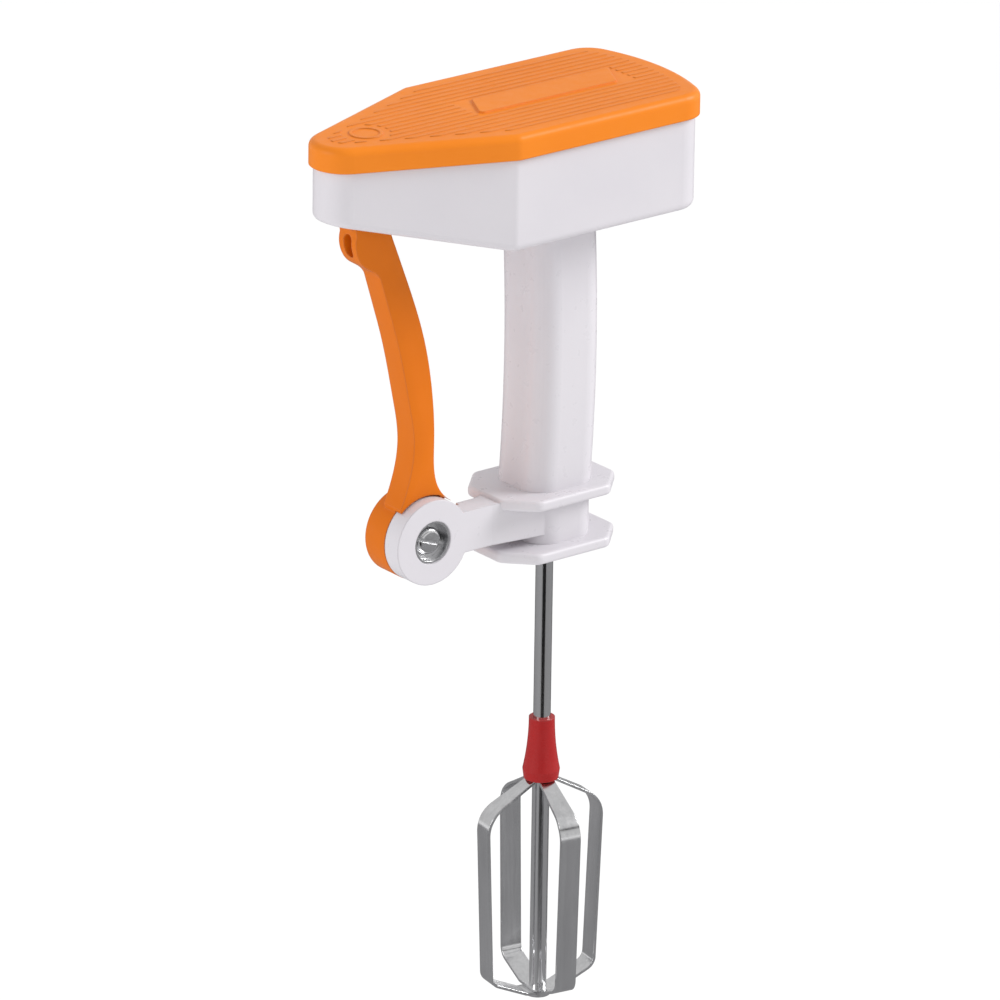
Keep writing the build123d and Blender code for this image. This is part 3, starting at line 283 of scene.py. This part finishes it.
def eased_piece(node, width, segments):
    """A copy of a CAD node with its sharp edges rounded, standing for the node."""
    mesh = bmesh.new()
    mesh.from_mesh(nodes[node].data)
    bmesh.ops.remove_doubles(mesh, verts=mesh.verts, dist=WELD_DISTANCE)
    bmesh.ops.dissolve_limit(mesh, angle_limit=FLAT_ANGLE, verts=mesh.verts, edges=mesh.edges)
    data = bpy.data.meshes.new(node + "_moulded")
    mesh.to_mesh(data)
    mesh.free()
    piece = bpy.data.objects.new(node + "_moulded", data)
    bpy.context.scene.collection.objects.link(piece)
    bevel = piece.modifiers.new("eased_edges", "BEVEL")
    bevel.width = width
    bevel.segments = segments
    bevel.limit_method = "ANGLE"
    bevel.angle_limit = SHARP_ANGLE
    bevel.harden_normals = False
    bevel.miter_outer = "MITER_ARC"
    baked = bpy.data.meshes.new_from_object(piece.evaluated_get(bpy.context.evaluated_depsgraph_get()))
    piece.modifiers.clear()
    piece.data = baked
    baked.shade_smooth()
    baked.set_sharp_from_angle(angle=SHARP_ANGLE)
    slot = [p["material_slot"] for p in frame["record"]["subparts"] if p["node"] == node][0]
    baked.materials.clear()
    baked.materials.append(MATERIALS[slot])
    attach(piece, nodes[node]["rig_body"])
    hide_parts(node)


eased_piece("squeeze_lever", LEVER_EDGE, LEVER_EDGE_SEGMENTS)


# ---- stage: floor, soft light and what the bright metal reflects ----
def plane(name, size_x, size_y, matrix):
    mesh = bpy.data.meshes.new(name)
    x = size_x / 2
    y = size_y / 2
    mesh.from_pydata([(-x, -y, 0), (x, -y, 0), (x, y, 0), (-x, y, 0)], [], [(0, 1, 2, 3)])
    obj = bpy.data.objects.new(name, mesh)
    obj.matrix_world = matrix
    bpy.context.scene.collection.objects.link(obj)
    return obj


def stage_material(name, colour, roughness):
    material, tree, shader = new_material(name)
    mottle = noise(tree, stretched_coords(tree, (1, 1, 1)), 3, 3)
    darker = tuple(c * 0.985 for c in colour)
    tree.links.new(ramp(tree, mottle, darker, colour), shader.inputs["Base Color"])
    shader.inputs["Roughness"].default_value = roughness
    shader.inputs["Specular IOR Level"].default_value = 0.1
    return material


def eye_axes():
    """Right, up and back of the camera as unit vectors."""
    a = math.radians(AZIMUTH)
    e = math.radians(ELEVATION)
    r = math.radians(ROLL)
    back = Vector((math.sin(a) * math.cos(e), -math.cos(a) * math.cos(e), math.sin(e)))
    level = Vector((math.cos(a), math.sin(a), 0))
    upright = back.cross(level)
    right = level * math.cos(r) + upright * math.sin(r)
    up = upright * math.cos(r) - level * math.sin(r)
    return level, right, up, back


def look_matrix(position, right, up, back):
    matrix = Matrix((right, up, back)).transposed().to_4x4()
    matrix.translation = position
    return matrix


def facing(position, target):
    """Matrix at position whose -Z looks at target."""
    back = (position - target).normalized()
    right = Vector((0, 0, 1)).cross(back).normalized()
    return look_matrix(position, right, back.cross(right), back)


level_right, eye_right, eye_up, eye_back = eye_axes()
target = level_right * TARGET_RIGHT + Vector((0, 0, TARGET_Z))
camera_data = bpy.data.cameras.new("camera")
camera_data.sensor_width = SENSOR * 1000
camera_data.lens = SENSOR * 1000 * DISTANCE / FRAME_HEIGHT
camera_data.clip_end = CLIP_END
camera = bpy.data.objects.new("camera", camera_data)
camera.matrix_world = look_matrix(target + eye_back * DISTANCE, eye_right, eye_up, eye_back)
bpy.context.scene.collection.objects.link(camera)
bpy.context.scene.camera = camera

FLOOR_DROP = 0.30  # the object hangs this far above the floor
FLOOR_SIZE = 60
GREY_FLOOR_SIZE = 5
GREY_FLOOR_LIFT = 0.002
floor_z = cad_box[0][2] - FLOOR_DROP
floor = plane("floor", FLOOR_SIZE, FLOOR_SIZE, Matrix.Translation((0, 0, floor_z)))
floor.data.materials.append(stage_material("floor_paper", (0.96, 0.96, 0.96), 0.9))
CARD_BLACK = stage_material("card_black", (0.012, 0.012, 0.012), 0.9)


def hide_from_all_but_gloss(card):
    card.visible_diffuse = False
    card.visible_shadow = False
    card.visible_camera = False


def reflected_card(name, turn, distance, width, height, bottom):
    """An upright dark card that only glossy surfaces see, turned about the object."""
    a = math.radians(AZIMUTH + turn)
    centre = Vector((math.sin(a) * distance, -math.cos(a) * distance, bottom + height / 2))
    card = plane(name, width, height, facing(centre, Vector((0, 0, centre.z))))
    card.data.materials.append(CARD_BLACK)
    hide_from_all_but_gloss(card)


# name, turn from the camera in degrees, distance, width, height, bottom
reflected_card("front_card", 3, 0.75, 0.62, 0.48, floor_z)
reflected_card("bend_card", 30, 0.80, 1.60, 0.13, 0.20)
reflected_card("left_card", -152, 0.80, 0.26, 0.55, floor_z)
reflected_card("right_card", 152, 0.80, 0.26, 0.55, floor_z)
# the bright metal sees a grey floor, which the camera and the plastics' diffuse light don't
grey_floor_place = Matrix.Translation((0, 0, floor_z + GREY_FLOOR_LIFT))
grey_floor = plane("grey_floor", GREY_FLOOR_SIZE, GREY_FLOOR_SIZE, grey_floor_place)
grey_floor.data.materials.append(stage_material("card_grey", (0.26, 0.26, 0.265), 0.9))
hide_from_all_but_gloss(grey_floor)


def add_light(name, kind, position, energy):
    """A light at position, aimed at the origin; energy is watts, or watts per m2 for a sun."""
    data = bpy.data.lights.new(name, kind)
    data.energy = energy
    light = bpy.data.objects.new(name, data)
    light.matrix_world = facing(Vector(position), Vector((0, 0, 0)))
    bpy.context.scene.collection.objects.link(light)
    return data


KEY_DIRECTION = (0.90, -0.50, 0.62)
KEY_ENERGY = 2.3
KEY_SOFTNESS = math.radians(28)
FILL_POSITION = (-2.2, 0.2, 0.7)
FILL_ENERGY = 14
FILL_SIZE = 1.2
WORLD_STRENGTH = 0.66

key = add_light("key", "SUN", KEY_DIRECTION, KEY_ENERGY)
key.angle = KEY_SOFTNESS
fill = add_light("fill_left", "AREA", FILL_POSITION, FILL_ENERGY)
fill.shape = "DISK"
fill.size = FILL_SIZE

world = bpy.data.worlds.new("studio")
world.use_nodes = True
bpy.context.scene.world = world
world.node_tree.nodes["Background"].inputs["Color"].default_value = (1, 1, 1, 1)
world.node_tree.nodes["Background"].inputs["Strength"].default_value = WORLD_STRENGTH
bpy.context.scene.view_settings.view_transform = "Standard"
